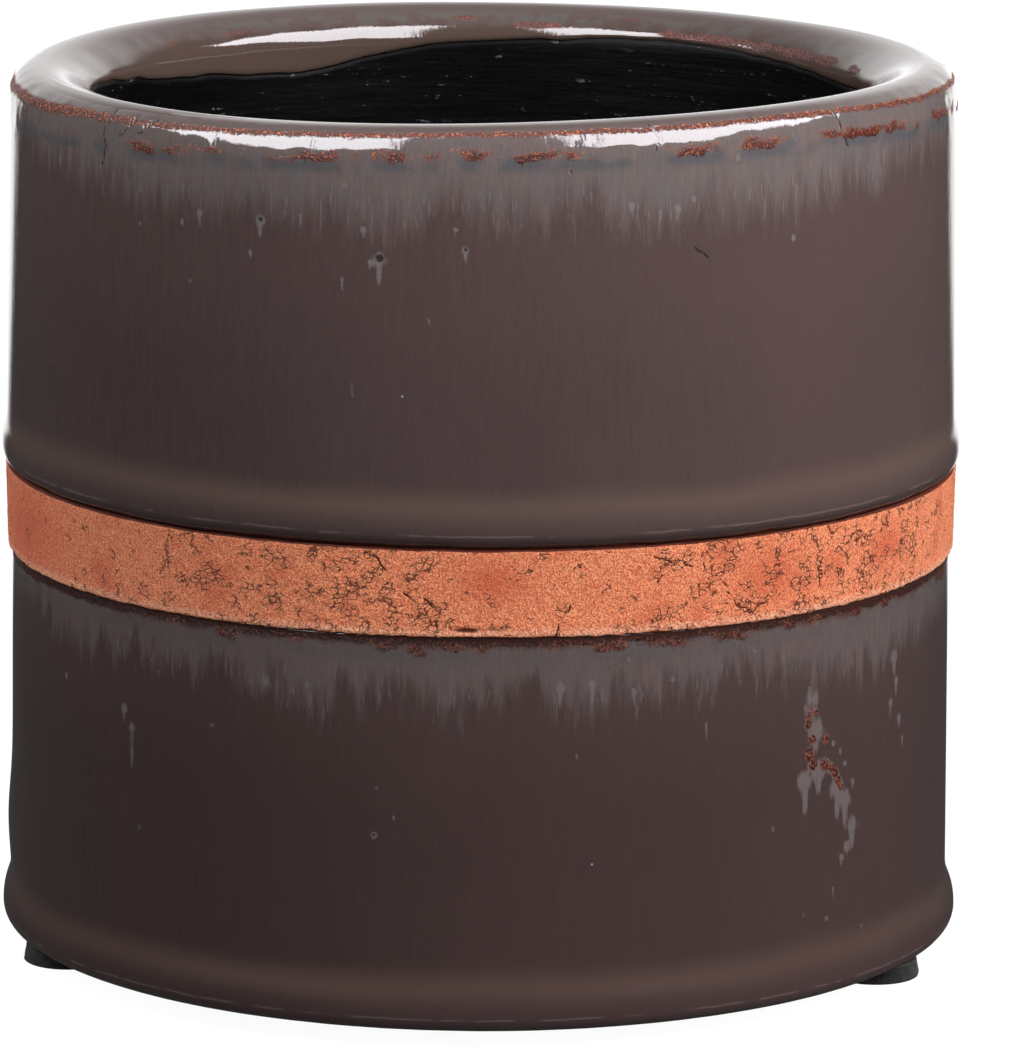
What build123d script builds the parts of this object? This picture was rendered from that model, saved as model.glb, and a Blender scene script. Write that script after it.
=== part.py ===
from build123d import *
import os
from math import cos, radians, sin

# Felt pads and their adhesive discs
pad_radius = 6.8  # at the floor, where the felt is pressed wider
pad_spread = 0.4  # how much wider the felt is at the floor than at its top
pad_thickness = 2.4
pad_edge_round = 0.5
glue_radius = 6.2
glue_thickness = 0.2
pad_inset = 5.4  # middle of a pad, in from the clay wall
pad_angles = {"left": 198.4, "right": 336.2, "rear": 87.3}  # degrees from +X

# Clay body, with heights counted from its underside
clay_radius = 69.0
clay_height = 128.3
foot_round = 2.5
floor_thickness = 11.0
floor_wall = 14.8  # wall where its inner slope meets the floor
floor_round = 6.0
rim_wall = 11.3  # wall where the lip begins
lip_drop = 4.9  # from the crown of the rim down to where the lip begins
bend_drop = 3.7  # from the crown down to the bend under the rim's inner slope
lip_share = 0.25  # of the inner slope, taken by the bend's rounding
crown_width = 2.0  # from the top of the inner slope out to the crown
shoulder_reach = 4.4  # from the wall in to the crown
shoulder_drop = 4.9

# Raised bare band of the clay body
band_level = 57.5  # its lower edge
band_width = 12.4
band_lower_stand = 1.2
band_upper_stand = 1.4
band_round_share = 0.7  # of the stand

# Upper glaze, thickening downwards to a rolled bead above the band
rim_coat = 0.7
upper_coat = 1.4
upper_bead_coat = 2.1
upper_bead_rise = 5.0  # from the fattest ring of the bead up to the plain coat
upper_bead_drop = 3.0  # from the fattest ring down to the clay
groove_width = 0.5  # bare clay between the bead and the band

# Wavy end of the upper glaze inside the rim
edge_drop = 3.8  # from the top of the rim to the highest end
edge_wave = 5.6  # from the highest to the lowest end
edge_wave_shares = (
    0.41, 0.45, 0.25, 0.02, 0.18, 0.38, 1.0, 0.79, 0.48,
    0.14, 0.33, 0.48, 0.36, 0.25, 0.4, 0.51, 0.4, 0.48,
)

# Lower glaze, from the underside of the band to a rolled bead at the foot
lower_edge_coat = 0.5
lower_coat = 0.9
lower_bead_coat = 2.3
lower_bead_rise = 7.0
lower_bead_drop = 2.6
lower_bead_gap = 0.1  # from the clay's underside up to the bead

# Black waterproof coat inside
sealer_coat = 0.35

cut_overrun = 1.0
bend_share = 0.5  # of a bead's rise or a coat, where its curve turns

# Radii and levels worked out from the sizes above
floor_radius = clay_radius - floor_wall
throat_radius = clay_radius - rim_wall
crown_radius = clay_radius - shoulder_reach
pad_ring_radius = clay_radius - pad_inset
clay_base = pad_thickness + glue_thickness
clay_top = clay_base + clay_height
floor_level = clay_base + floor_thickness
lip_level = clay_top - lip_drop
bend_level = clay_top - bend_drop
shoulder_level = clay_top - shoulder_drop
band_bottom = clay_base + band_level
band_top = band_bottom + band_width
upper_bead_foot = band_top + groove_width
upper_bead_level = upper_bead_foot + upper_bead_drop
lower_bead_level = clay_base + lower_bead_gap + lower_bead_drop
edge_highest = clay_top + rim_coat - edge_drop
edge_lowest = edge_highest - edge_wave
inner_slope = (throat_radius - floor_radius) / (lip_level - floor_level)


def at(radius, height):
    return Vector(radius, 0, height)


def rounded(start, corner, end):
    return Bezier(start, corner, end)


def turned(edges):
    return revolve(make_face(edges), Axis.Z)


# Lines that the clay and its coats share, at a coat's thickness from the clay
def inner_radius(height, coat):
    return floor_radius + (height - floor_level) * inner_slope - coat


def rim_line(coat):
    crest = clay_top + coat
    lip_start = at(inner_radius(lip_level, coat), lip_level)
    lip_bend = at(inner_radius(bend_level, coat), bend_level + coat * bend_share)
    slope_top = at(crown_radius - crown_width - coat * bend_share, crest)
    slope_foot = lip_bend + (slope_top - lip_bend) * lip_share
    crown = at(crown_radius, crest)
    shoulder_corner = at(clay_radius + coat, crest)
    shoulder_end = at(clay_radius + coat, shoulder_level)
    return [
        rounded(lip_start, lip_bend, slope_foot),
        rounded(slope_foot, slope_top, crown),
        rounded(crown, shoulder_corner, shoulder_end),
    ]


def well_line(coat):
    floor_height = floor_level + coat
    round_start = at(inner_radius(floor_height, coat) - floor_round, floor_height)
    round_corner = at(inner_radius(floor_height, coat), floor_height)
    round_level = floor_height + floor_round
    round_end = at(inner_radius(round_level, coat), round_level)
    return [
        Line(at(0, floor_height), round_start),
        rounded(round_start, round_corner, round_end),
        Line(round_end, at(inner_radius(lip_level, coat), lip_level)),
    ]


# A bead: the coat swells to its fattest ring, then rolls under to the clay
def bead_line(coat, bead_coat, level, rise, drop, end_radius):
    top = at(clay_radius + coat, level + rise)
    upper_bend = at(clay_radius + coat, level + rise * bend_share)
    lower_bend = at(clay_radius + bead_coat, level + rise * bend_share)
    fattest = at(clay_radius + bead_coat, level)
    roll_corner = at(clay_radius + bead_coat, level - drop)
    roll_end = at(end_radius, level - drop)
    return [Bezier(top, upper_bend, lower_bend, fattest), rounded(fattest, roll_corner, roll_end)]


def band_line():
    lower_round = band_lower_stand * band_round_share
    upper_round = band_upper_stand * band_round_share
    lower_face = clay_radius + band_lower_stand
    upper_face = clay_radius + band_upper_stand
    lower_start = at(lower_face - lower_round, band_bottom)
    lower_end = at(lower_face, band_bottom + lower_round)
    upper_start = at(upper_face, band_top - upper_round)
    upper_end = at(upper_face - upper_round, band_top)
    return [
        Line(at(clay_radius, band_bottom), lower_start),
        rounded(lower_start, at(lower_face, band_bottom), lower_end),
        Line(lower_end, upper_start),
        rounded(upper_start, at(upper_face, band_top), upper_end),
        Line(upper_end, at(clay_radius, band_top)),
    ]


# Clay body
foot_start = at(clay_radius - foot_round, clay_base)
foot_end = at(clay_radius, clay_base + foot_round)
clay_body = turned(
    [
        Line(at(0, floor_level), at(0, clay_base)),
        Line(at(0, clay_base), foot_start),
        rounded(foot_start, at(clay_radius, clay_base), foot_end),
        Line(foot_end, at(clay_radius, band_bottom)),
        *band_line(),
        Line(at(clay_radius, band_top), at(clay_radius, shoulder_level)),
        *rim_line(0),
        *well_line(0),
    ]
)


# The wavy surface between the glaze and the sealer, from the open well into the clay
def wavy_ring(radius):
    step = radians(360 / len(edge_wave_shares))
    points = [
        Vector(radius * cos(i * step), radius * sin(i * step), edge_highest - edge_wave * share)
        for i, share in enumerate(edge_wave_shares)
    ]
    return Spline(points, periodic=True)


wavy_face = Face.make_surface_from_curves(
    wavy_ring(throat_radius - rim_coat - cut_overrun), wavy_ring(crown_radius + cut_overrun)
)
wave_reach = edge_wave + edge_drop + cut_overrun
below_wave = Solid.extrude(wavy_face, Vector(0, 0, -wave_reach))
above_wave = Solid.extrude(wavy_face, Vector(0, 0, wave_reach))

# Upper glaze
coat_end = edge_lowest - cut_overrun
coat_end_clay = at(inner_radius(coat_end, 0), coat_end)
coat_end_face = at(inner_radius(coat_end, rim_coat), coat_end)
upper_wall_top = at(clay_radius + rim_coat, shoulder_level)
upper_wall_end = at(clay_radius + upper_coat, upper_bead_level + upper_bead_rise)
upper_coat_ring = turned(
    [
        Line(coat_end_face, coat_end_clay),
        Line(coat_end_clay, at(inner_radius(lip_level, 0), lip_level)),
        *rim_line(0),
        Line(at(clay_radius, shoulder_level), at(clay_radius, upper_bead_foot)),
        *bead_line(
            upper_coat, upper_bead_coat, upper_bead_level, upper_bead_rise, upper_bead_drop, clay_radius
        ),
        Line(upper_wall_end, upper_wall_top),
        *rim_line(rim_coat),
        Line(at(inner_radius(lip_level, rim_coat), lip_level), coat_end_face),
    ]
)
upper_glaze = upper_coat_ring - below_wave

# Lower glaze, rolled under the rounded foot of the clay
foot_radius = clay_radius - foot_round
lower_wall_top = at(clay_radius + lower_edge_coat, band_bottom)
lower_wall_end = at(clay_radius + lower_coat, lower_bead_level + lower_bead_rise)
lower_coat_ring = turned(
    [
        Line(at(foot_radius, lower_bead_level - lower_bead_drop), at(foot_radius, band_bottom)),
        Line(at(foot_radius, band_bottom), lower_wall_top),
        Line(lower_wall_top, lower_wall_end),
        *bead_line(
            lower_coat, lower_bead_coat, lower_bead_level, lower_bead_rise, lower_bead_drop, foot_radius
        ),
    ]
)
lower_glaze = lower_coat_ring - clay_body

# Inner sealer, up the lip to the glaze
clay_roll, clay_slope, _ = rim_line(0)
sealer_roll, sealer_slope, _ = rim_line(sealer_coat)
sealer_ring = turned(
    [
        Line(at(0, floor_level + sealer_coat), at(0, floor_level)),
        *well_line(0),
        clay_roll,
        clay_slope,
        Line(clay_slope @ 1, sealer_slope @ 1),
        sealer_slope,
        sealer_roll,
        *well_line(sealer_coat),
    ]
)
inner_sealer = sealer_ring - above_wave

# Felt pad with a pressed, rounded lower edge, and its adhesive disc
pad_round_start = at(pad_radius - pad_edge_round, 0)
pad_round_end = at(pad_radius, pad_edge_round)
pad_top_edge = at(pad_radius - pad_spread, pad_thickness)
pad = turned(
    [
        Line(at(0, pad_thickness), at(0, 0)),
        Line(at(0, 0), pad_round_start),
        rounded(pad_round_start, at(pad_radius, 0), pad_round_end),
        Line(pad_round_end, pad_top_edge),
        Line(pad_top_edge, at(0, pad_thickness)),
    ]
)
glue = Pos(0, 0, pad_thickness) * Cylinder(
    glue_radius, glue_thickness, align=(Align.CENTER, Align.CENTER, Align.MIN)
)

nodes = {
    "clay_body": clay_body,
    "upper_glaze": upper_glaze,
    "lower_glaze": lower_glaze,
    "inner_sealer": inner_sealer,
}
for side, angle in pad_angles.items():
    place = Pos(pad_ring_radius * cos(radians(angle)), pad_ring_radius * sin(radians(angle)), 0)
    nodes[side + "_pad"] = place * pad
    nodes[side + "_glue"] = place * glue

os.makedirs("parts", exist_ok=True)
for name, solid in nodes.items():
    export_step(solid, "parts/" + name + ".step")
    print(name, round(solid.volume, 1), "mm3")
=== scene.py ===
import math
import bpy
import numpy as np
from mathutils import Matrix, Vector


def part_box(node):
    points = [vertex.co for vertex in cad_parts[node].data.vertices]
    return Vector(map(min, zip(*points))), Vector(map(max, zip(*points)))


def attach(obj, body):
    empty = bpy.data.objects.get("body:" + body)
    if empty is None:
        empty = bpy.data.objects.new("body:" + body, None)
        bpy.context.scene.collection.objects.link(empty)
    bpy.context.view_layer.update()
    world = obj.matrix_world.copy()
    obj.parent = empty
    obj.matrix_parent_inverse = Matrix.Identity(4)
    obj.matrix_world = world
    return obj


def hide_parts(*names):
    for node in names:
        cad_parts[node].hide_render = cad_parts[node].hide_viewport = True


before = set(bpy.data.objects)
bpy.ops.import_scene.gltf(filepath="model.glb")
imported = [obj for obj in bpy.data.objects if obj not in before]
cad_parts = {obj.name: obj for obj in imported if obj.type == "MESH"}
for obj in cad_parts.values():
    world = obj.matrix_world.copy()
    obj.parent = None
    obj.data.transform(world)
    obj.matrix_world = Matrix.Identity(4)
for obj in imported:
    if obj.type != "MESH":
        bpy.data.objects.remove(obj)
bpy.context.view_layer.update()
print("frame loaded")

mm = 0.001
noiseTable = np.random.default_rng(31).random((32, 32, 32))


def nodeBox(node):
    low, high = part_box(node)
    return np.array(low) / mm, np.array(high) / mm


# shapes: outlines are (radius, height) points in mm, turned round the pot's axis
def corner(start, bend, end, count=14):
    t = np.linspace(0, 1, count)[:, None]
    return (1 - t) ** 2 * np.array(start) + 2 * t * (1 - t) * np.array(bend) + t * t * np.array(end)


def doubleBend(start, first, second, end, count=16):
    t = np.linspace(0, 1, count)[:, None]
    a, b, c, d = (np.array(p) for p in (start, first, second, end))
    return (1 - t) ** 3 * a + 3 * t * (1 - t) ** 2 * b + 3 * t * t * (1 - t) * c + t ** 3 * d


def runLength(points):
    return np.concatenate([[0], np.cumsum(np.hypot(*np.diff(points, axis=0).T))])


def spread(points, step):  # the outline again, in even steps
    points = np.array(points)
    run = runLength(points)
    at = np.linspace(0, run[-1], max(2, int(round(run[-1] / step)) + 1))
    return np.stack([np.interp(at, run, points[:, 0]), np.interp(at, run, points[:, 1])], axis=1)


def joined(*runs):
    kept = [np.array(runs[0])]
    for run in runs[1:]:
        run = np.array(run)
        kept.append(run[1:] if np.allclose(run[0], kept[-1][-1], atol=1e-6) else run)
    return np.concatenate(kept)


def outward(points):  # unit normals of an outline that runs with the solid on its right
    slope = np.gradient(points, axis=0)
    slope /= np.maximum(np.hypot(slope[:, 0], slope[:, 1]), 1e-9)[:, None]
    return np.stack([-slope[:, 1], slope[:, 0]], axis=1)


def turnsRound(mesh):  # one row of radians from the front, closer together there
    count, fine = mesh["columns"], np.linspace(-math.pi, math.pi, 4097)
    weight = 1 + mesh["crowding"] * np.cos(fine)
    total = np.concatenate([[0], np.cumsum((weight[1:] + weight[:-1]) / 2)])
    return np.interp(np.arange(count) / count * total[-1], total, fine)[None, :]


def roundPot(radius, turn, height):
    radius, turn, height = np.broadcast_arrays(radius, turn, height)
    return np.stack([radius * np.sin(turn), -radius * np.cos(turn), height], axis=-1)


def gridOn(run, turns):  # radius and height on every turn of an outline, and the points there
    radius, height = run[:, :1] + 0 * turns, run[:, 1:] + 0 * turns
    return radius, height, roundPot(radius, turns, height)


def swelled(run, radius, height, swell):
    normals = outward(run)
    return radius + normals[:, :1] * swell, height + normals[:, 1:] * swell


def softNoise(points, cell, shift=0.0):  # smooth noise from -1 to 1
    spot = points / np.array(cell) + shift
    base = np.floor(spot).astype(int)
    part = spot - base
    part = part * part * (3 - 2 * part)
    value = np.zeros(points.shape[:-1])
    for corners in np.ndindex(2, 2, 2):
        share = np.prod(np.where(corners, part, 1 - part), axis=-1)
        index = (base + np.array(corners)) % 32
        value += share * noiseTable[index[..., 0], index[..., 1], index[..., 2]]
    return value * 2 - 1


def aside(turn, spotTurn, radius):  # mm round the pot from a spot
    return ((turn - math.radians(spotTurn) + math.pi) % (2 * math.pi) - math.pi) * radius


def near(turn, height, spotTurn, spotHeight, across, along, radius):  # 1 on a spot, fading to 0
    return np.exp(-(aside(turn, spotTurn, radius) / across) ** 2 - ((height - spotHeight) / along) ** 2)


def ramp(value, low, high):
    t = np.clip((value - low) / (high - low), 0, 1)
    return t * t * (3 - 2 * t)


def turnedMesh(name, grid, masks, looped=True, capFirst=False, capLast=False):
    rows, columns = grid.shape[:2]
    points = grid.reshape(-1, 3).tolist()
    index = np.arange(rows * columns).reshape(rows, columns)
    below = index if looped else index[:-1]
    above = np.roll(index, -1, axis=0) if looped else index[1:]
    quads = np.stack([below, np.roll(below, -1, axis=1), np.roll(above, -1, axis=1), above], axis=-1)
    faces = quads.reshape(-1, 4).tolist()
    for wanted, row, turned in ((capFirst, 0, True), (capLast, rows - 1, False)):
        if wanted:
            points.append(grid[row].mean(axis=0).tolist())
            for i in range(columns):
                pair = [int(index[row, i]), int(index[row, (i + 1) % columns])]
                faces.append((pair[::-1] if turned else pair) + [len(points) - 1])
    mesh = bpy.data.meshes.new(name)
    mesh.from_pydata([[v * mm for v in p] for p in points], [], faces)
    for key, values in masks.items():
        layer = mesh.attributes.new(key, "FLOAT", "POINT")
        flat = np.zeros(len(points), dtype=np.float32)
        flat[: rows * columns] = np.broadcast_to(values, (rows, columns)).ravel()
        layer.data.foreach_set("value", flat)
    mesh.polygons.foreach_set("use_smooth", [True] * len(mesh.polygons))
    mesh.update()
    piece = bpy.data.objects.new(name, mesh)
    bpy.context.scene.collection.objects.link(piece)
    print("made", name, len(mesh.vertices), "points")
    return piece


def place(piece, nodes, material):
    piece.data.materials.append(material)
    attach(piece, "root")
    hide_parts(*nodes)


# materials: sockets that add up like numbers
class Sock:
    def __init__(self, paint, out):
        self.paint, self.out = paint, out

    def sum(self, how, *others, clamp=False):
        inputs = {i: v for i, v in enumerate((self, *others))}
        return self.paint.node("ShaderNodeMath", {"operation": how, "use_clamp": clamp}, inputs)

    def __add__(self, other): return self.sum("ADD", other)
    def __radd__(self, other): return self.sum("ADD", other)
    def __sub__(self, other): return self.sum("SUBTRACT", other)
    def __rsub__(self, other): return self.paint.sock(other).sum("SUBTRACT", self)
    def __mul__(self, other): return self.sum("MULTIPLY", other)
    def __truediv__(self, other): return self.sum("DIVIDE", other)
    def size(self): return self.sum("ABSOLUTE")
    def largest(self, other): return self.sum("MAXIMUM", other)
    def smallest(self, other): return self.sum("MINIMUM", other)
    def clear(self): return self.sum("ADD", 0.0, clamp=True)
    def about(self, amount): return (self - 0.5) * amount  # noise, about its middle

    def ramp(self, low, high):  # smooth step from 0 at low to 1 at high
        settings = {"interpolation_type": "SMOOTHSTEP"}
        inputs = {"Value": self, "From Min": low, "From Max": high}
        return self.paint.node("ShaderNodeMapRange", settings, inputs)

    def ridge(self, middle, width):  # 1 at the middle, 0 beyond the width
        return 1.0 - ((self - middle) / width).size().smallest(1.0).ramp(0.0, 1.0)


class Paint:
    def __init__(self, name, owner=None):
        self.owner = owner or bpy.data.materials.new(name)
        self.owner.use_nodes = True
        self.tree = self.owner.node_tree
        self.tree.nodes.clear()

    def node(self, kind, settings=None, inputs=None, output=0):
        made = self.tree.nodes.new(kind)
        for key, value in (settings or {}).items():
            setattr(made, key, value)
        for key, value in (inputs or {}).items():
            socket = made.inputs[key] if isinstance(key, int) else self.socket(made, key)
            if isinstance(value, Sock):
                self.tree.links.new(value.out, socket)
            else:
                socket.default_value = value
        outs = {key: o for i, o in enumerate(made.outputs) for key in (i, o.name, o.identifier)}
        return Sock(self, outs.get(output))

    def socket(self, made, key):
        byId = [s for s in made.inputs if s.identifier == key]
        return byId[0] if byId else made.inputs[key]

    def sock(self, number):
        return self.node("ShaderNodeMath", {"operation": "ADD"}, {0: number, 1: 0.0})

    def places(self):  # object coordinates in mm
        where = self.node("ShaderNodeTexCoord", output="Object")
        return self.node("ShaderNodeVectorMath", {"operation": "SCALE"}, {0: where, "Scale": 1 / mm})

    def stretched(self, where, scale):
        return self.node("ShaderNodeMapping", None, {"Vector": where, "Scale": scale})

    def noise(self, where, scale, detail=2.0, rough=0.5, warp=0.0):
        inputs = {"Vector": where, "Scale": scale, "Detail": detail, "Roughness": rough, "Distortion": warp}
        return self.node("ShaderNodeTexNoise", None, inputs)

    def cells(self, where, scale, feature="DISTANCE_TO_EDGE"):
        inputs = {"Vector": where, "Scale": scale}
        return self.node("ShaderNodeTexVoronoi", {"feature": feature}, inputs, "Distance")

    def mask(self, name):
        return self.node("ShaderNodeAttribute", {"attribute_name": name}, None, "Fac")

    def mix(self, share, first, second):
        settings = {"data_type": "RGBA", "clamp_factor": True}
        tones = [c if isinstance(c, Sock) else (*c, 1.0) for c in (first, second)]
        inputs = {"Factor_Float": share, "A_Color": tones[0], "B_Color": tones[1]}
        return self.node("ShaderNodeMix", settings, inputs, "Result_Color")

    def bump(self, height, distance):
        inputs = {"Height": height, "Distance": distance * mm, "Strength": 1.0}
        return self.node("ShaderNodeBump", None, inputs)

    def surface(self, settings):
        shader = self.node("ShaderNodeBsdfPrincipled", None, settings)
        self.node("ShaderNodeOutputMaterial", None, {"Surface": shader})
        return self.owner


def tone(red, green, blue):  # a colour as it looks on screen, to the shader's own scale
    shares = [v / 255 for v in (red, green, blue)]
    return tuple(v / 12.92 if v <= 0.04045 else ((v + 0.055) / 1.055) ** 2.4 for v in shares)


# the pot's outline, from the frame's boxes and the coats' thicknesses
upperLow, upperHigh = nodeBox("upper_glaze")
clayLow, clayHigh = nodeBox("clay_body")
lowerHigh, sealLow = nodeBox("lower_glaze")[1], nodeBox("inner_sealer")[0]
coat = dict(rim=0.7, upper=1.4, lowerTop=0.5, lower=0.9, seal=0.35)
band = dict(upperStand=1.4, lowerStand=1.2, groove=0.5, round=0.4)
wall = dict(rim=11.3, floor=14.8, floorRound=6.0, footRound=2.5)
lip = dict(
    drop=4.9, bendDrop=3.7, bendRise=0.5, slopeShare=0.25, slopeLean=1.8,
    crown=2.0, reach=4.4, shoulderDrop=4.9,
)
rim = dict(side=0.5, twist=0.42, waves=0.08, waveStart=0.6)
edge = dict(drop=3.8, wave=5.6, fine=0.3)
edgeShares = (
    0.41, 0.45, 0.25, 0.02, 0.18, 0.38, 1.0, 0.79, 0.48, 0.14, 0.33, 0.48, 0.36, 0.25, 0.4, 0.51, 0.4, 0.48,
)
clayRadius = clayHigh[0] - band["upperStand"]
crest, clayTop, clayBase = upperHigh[2], clayHigh[2], clayLow[2]
bandBottom, bandTop = lowerHigh[2], upperLow[2] - band["groove"]
throat, crownRadius = clayRadius - wall["rim"], clayRadius - lip["reach"]
lipLevel, bendLevel = clayTop - lip["drop"], clayTop - lip["bendDrop"]
shoulderLevel = clayTop - lip["shoulderDrop"]
floorLevel, floorRadius = sealLow[2], clayRadius - wall["floor"]


def innerRadius(height, thickness):
    return floorRadius + (height - floorLevel) * (throat - floorRadius) / (lipLevel - floorLevel) - thickness


def rimLine(thickness):  # up the lip to the crown, and over the shoulder
    top = clayTop + thickness
    bend = np.array((innerRadius(bendLevel, thickness), bendLevel + thickness * lip["bendRise"]))
    slopeTop = np.array((crownRadius - lip["crown"] - thickness * lip["slopeLean"], top))
    slopeFoot = bend + (slopeTop - bend) * lip["slopeShare"]
    lipRun = joined(
        corner((innerRadius(lipLevel, thickness), lipLevel), bend, slopeFoot, 12),
        corner(slopeFoot, slopeTop, (crownRadius, top), 18),
    )
    outside = clayRadius + thickness
    return lipRun, corner((crownRadius, top), (outside, top), (outside, shoulderLevel), 26)


def wellRadius(height, thickness):  # the inner wall, and the lip that rolls outwards above it
    lipRun = rimLine(thickness)[0]
    rolled = np.interp(height, lipRun[:, 1], lipRun[:, 0])
    return np.where(height < lipLevel, innerRadius(height, thickness), rolled)


def glazeEnd(turn):  # height of the wavy end of the glaze inside the rim
    angle = (turn - math.pi / 2) % (2 * math.pi)  # from +X
    spot = angle / (2 * math.pi / len(edgeShares))
    base = np.floor(spot).astype(int)
    t = spot - base
    a, b, c, d = (np.array(edgeShares)[(base + k) % len(edgeShares)] for k in (-1, 0, 1, 2))
    share = b + 0.5 * t * (c - a + t * (2 * a - 5 * b + 4 * c - d + t * (3 * (b - c) + d - a)))
    wobble = softNoise(roundPot(throat, turn, 0.0), (4.0, 4.0, 4.0), 3.0) * edge["fine"]
    return crest - edge["drop"] - edge["wave"] * share + wobble


def beadLine(thickness, fat, level, rise, drop, endRadius):
    outside = clayRadius + thickness
    bend = level + rise * 0.5
    swell = doubleBend((outside, level + rise), (outside, bend), (fat, bend), (fat, level))
    return swell, corner((fat, level), (fat, level - drop), (endRadius, level - drop))


def rimLift(turn):  # the thrown rim isn't quite flat
    lean = rim["side"] * np.sin(turn) + rim["twist"] * np.sin(2 * turn)
    return lean + rim["waves"] * np.sin(3 * turn + rim["waveStart"])


def levelRound(turn, table):  # a height given at turns from the front, in degrees
    turns, heights = np.array(table).T
    return np.interp(np.degrees(turn), turns, heights)


markForm = dict(tall=1.15, narrowing=0.75, tail=0.7, tailShare=0.8, hole=0.58, holeRise=0.2, rust=1.8)
crackForm = dict(step=0.9, margin=1.0, far=9.0)


def marksOn(turn, height, marks, radius):  # pale runs, dark holes and rust of the flaws in a glaze
    halo, hole, rust = (np.zeros(np.broadcast(turn, height).shape) for _ in range(3))
    for spotTurn, spotHeight, across, drop, holeShare, rustShare in marks:
        spot = near(turn, height, spotTurn, spotHeight, across, across * markForm["tall"], radius)
        down = (spotHeight - height) / max(drop, 0.1)
        taper = np.clip(1 - markForm["narrowing"] * down, 0.2, 1) * across * markForm["tail"]
        tail = np.exp(-(aside(turn, spotTurn, radius) / taper) ** 2)
        tail *= ramp(down, -0.15, 0.05) * (1 - ramp(down, 0.5, 1.05)) * markForm["tailShare"]
        halo = np.maximum(halo, np.maximum(spot, tail))
        wide = across * markForm["hole"]
        if holeShare:
            holeHeight = spotHeight + across * markForm["holeRise"]
            hole = np.maximum(hole, holeShare * near(turn, height, spotTurn, holeHeight, wide, wide, radius))
        if rustShare:
            wide *= markForm["rust"]
            rust = np.maximum(rust, rustShare * near(turn, height, spotTurn, spotHeight, wide, wide, radius))
    return halo, hole, rust


def scratches(turn, height, lines, radius, width, seed, wobble):  # 1 along thin wandering lines
    turn, depth = turn + 0 * height, 0 * height
    rng = np.random.default_rng(seed)
    for line in lines:
        points = np.array(line, dtype=float)
        points[:, 0] = np.radians(points[:, 0]) * radius
        count = max(3, int(np.hypot(*(points[-1] - points[0])) / crackForm["step"]) + 2)
        at = np.linspace(0, len(points) - 1, count)
        path = np.stack([np.interp(at, range(len(points)), points[:, k]) for k in (0, 1)], axis=1)
        path[1:-1] += rng.uniform(-wobble, wobble, (count - 2, 2))
        middle = path.mean(axis=0)
        reach = np.abs(path - middle).max() + 3 * width + crackForm["margin"]
        side = aside(turn, math.degrees(middle[0] / radius), radius)
        close = (np.abs(side) < reach) & (np.abs(height - middle[1]) < reach)
        here = np.stack([side[close], height[close] - middle[1]], axis=1)
        best = np.full(len(here), crackForm["far"])
        for a, b in zip(path[:-1] - middle, path[1:] - middle):
            along = np.clip(((here - a) @ (b - a)) / max((b - a) @ (b - a), 1e-9), 0, 1)
            best = np.minimum(best, np.hypot(*(here - a - along[:, None] * (b - a)).T))
        depth[close] = np.maximum(depth[close], np.exp(-(best / width) ** 2))
    return depth


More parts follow.
